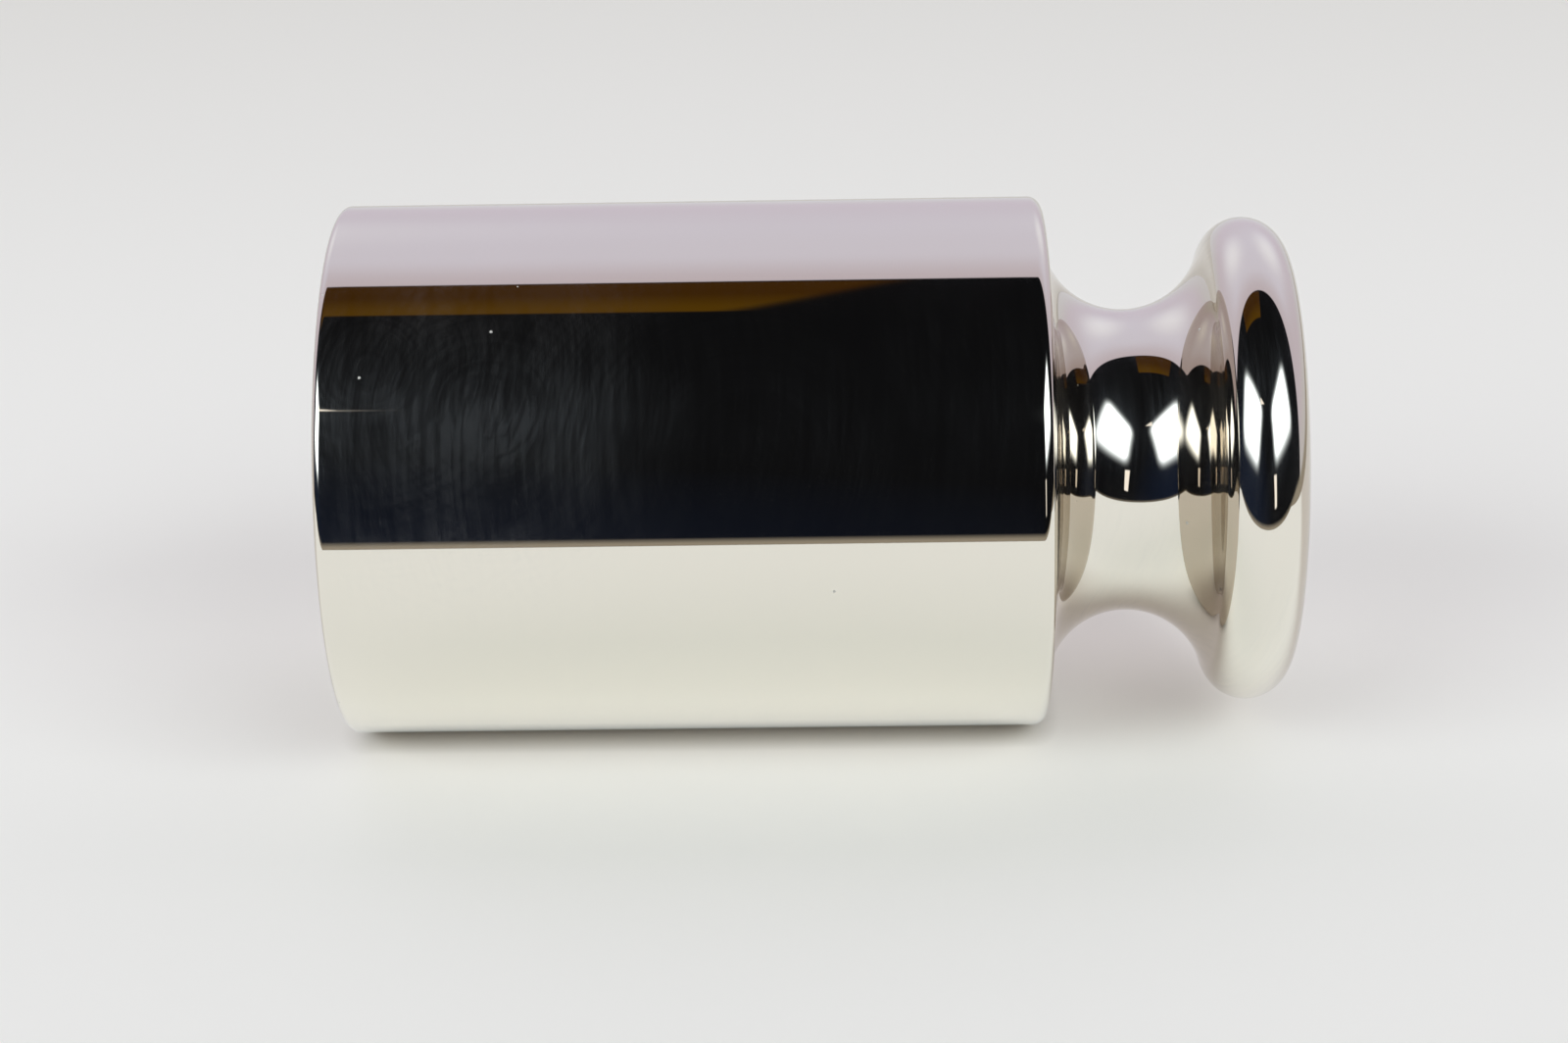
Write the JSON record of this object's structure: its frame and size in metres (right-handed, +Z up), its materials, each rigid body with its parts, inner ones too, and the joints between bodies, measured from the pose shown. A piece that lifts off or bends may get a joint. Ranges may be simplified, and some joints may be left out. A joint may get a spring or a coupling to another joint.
{
  "type": "calibration weight",
  "caption": "Polished one-piece steel calibration weight: a plain cylinder with a round groove that forms a neck and a disc-shaped lifting knob.",
  "frame": {"origin": "centre of the base, on the plane of the foot ring that the weight stands on", "axes": "+Z up along the axis of the turned outline, from the base to the knob; X and Y are any two directions square to it"},
  "size_m": [0.08, 0.08, 0.144],
  "materials": {
    "polished_steel": "mirror-polished stainless steel with faint polishing lines round the axis"
  },
  "bodies": {
    "root": {"weight": "polished_steel"}
  },
  "joints": []
}
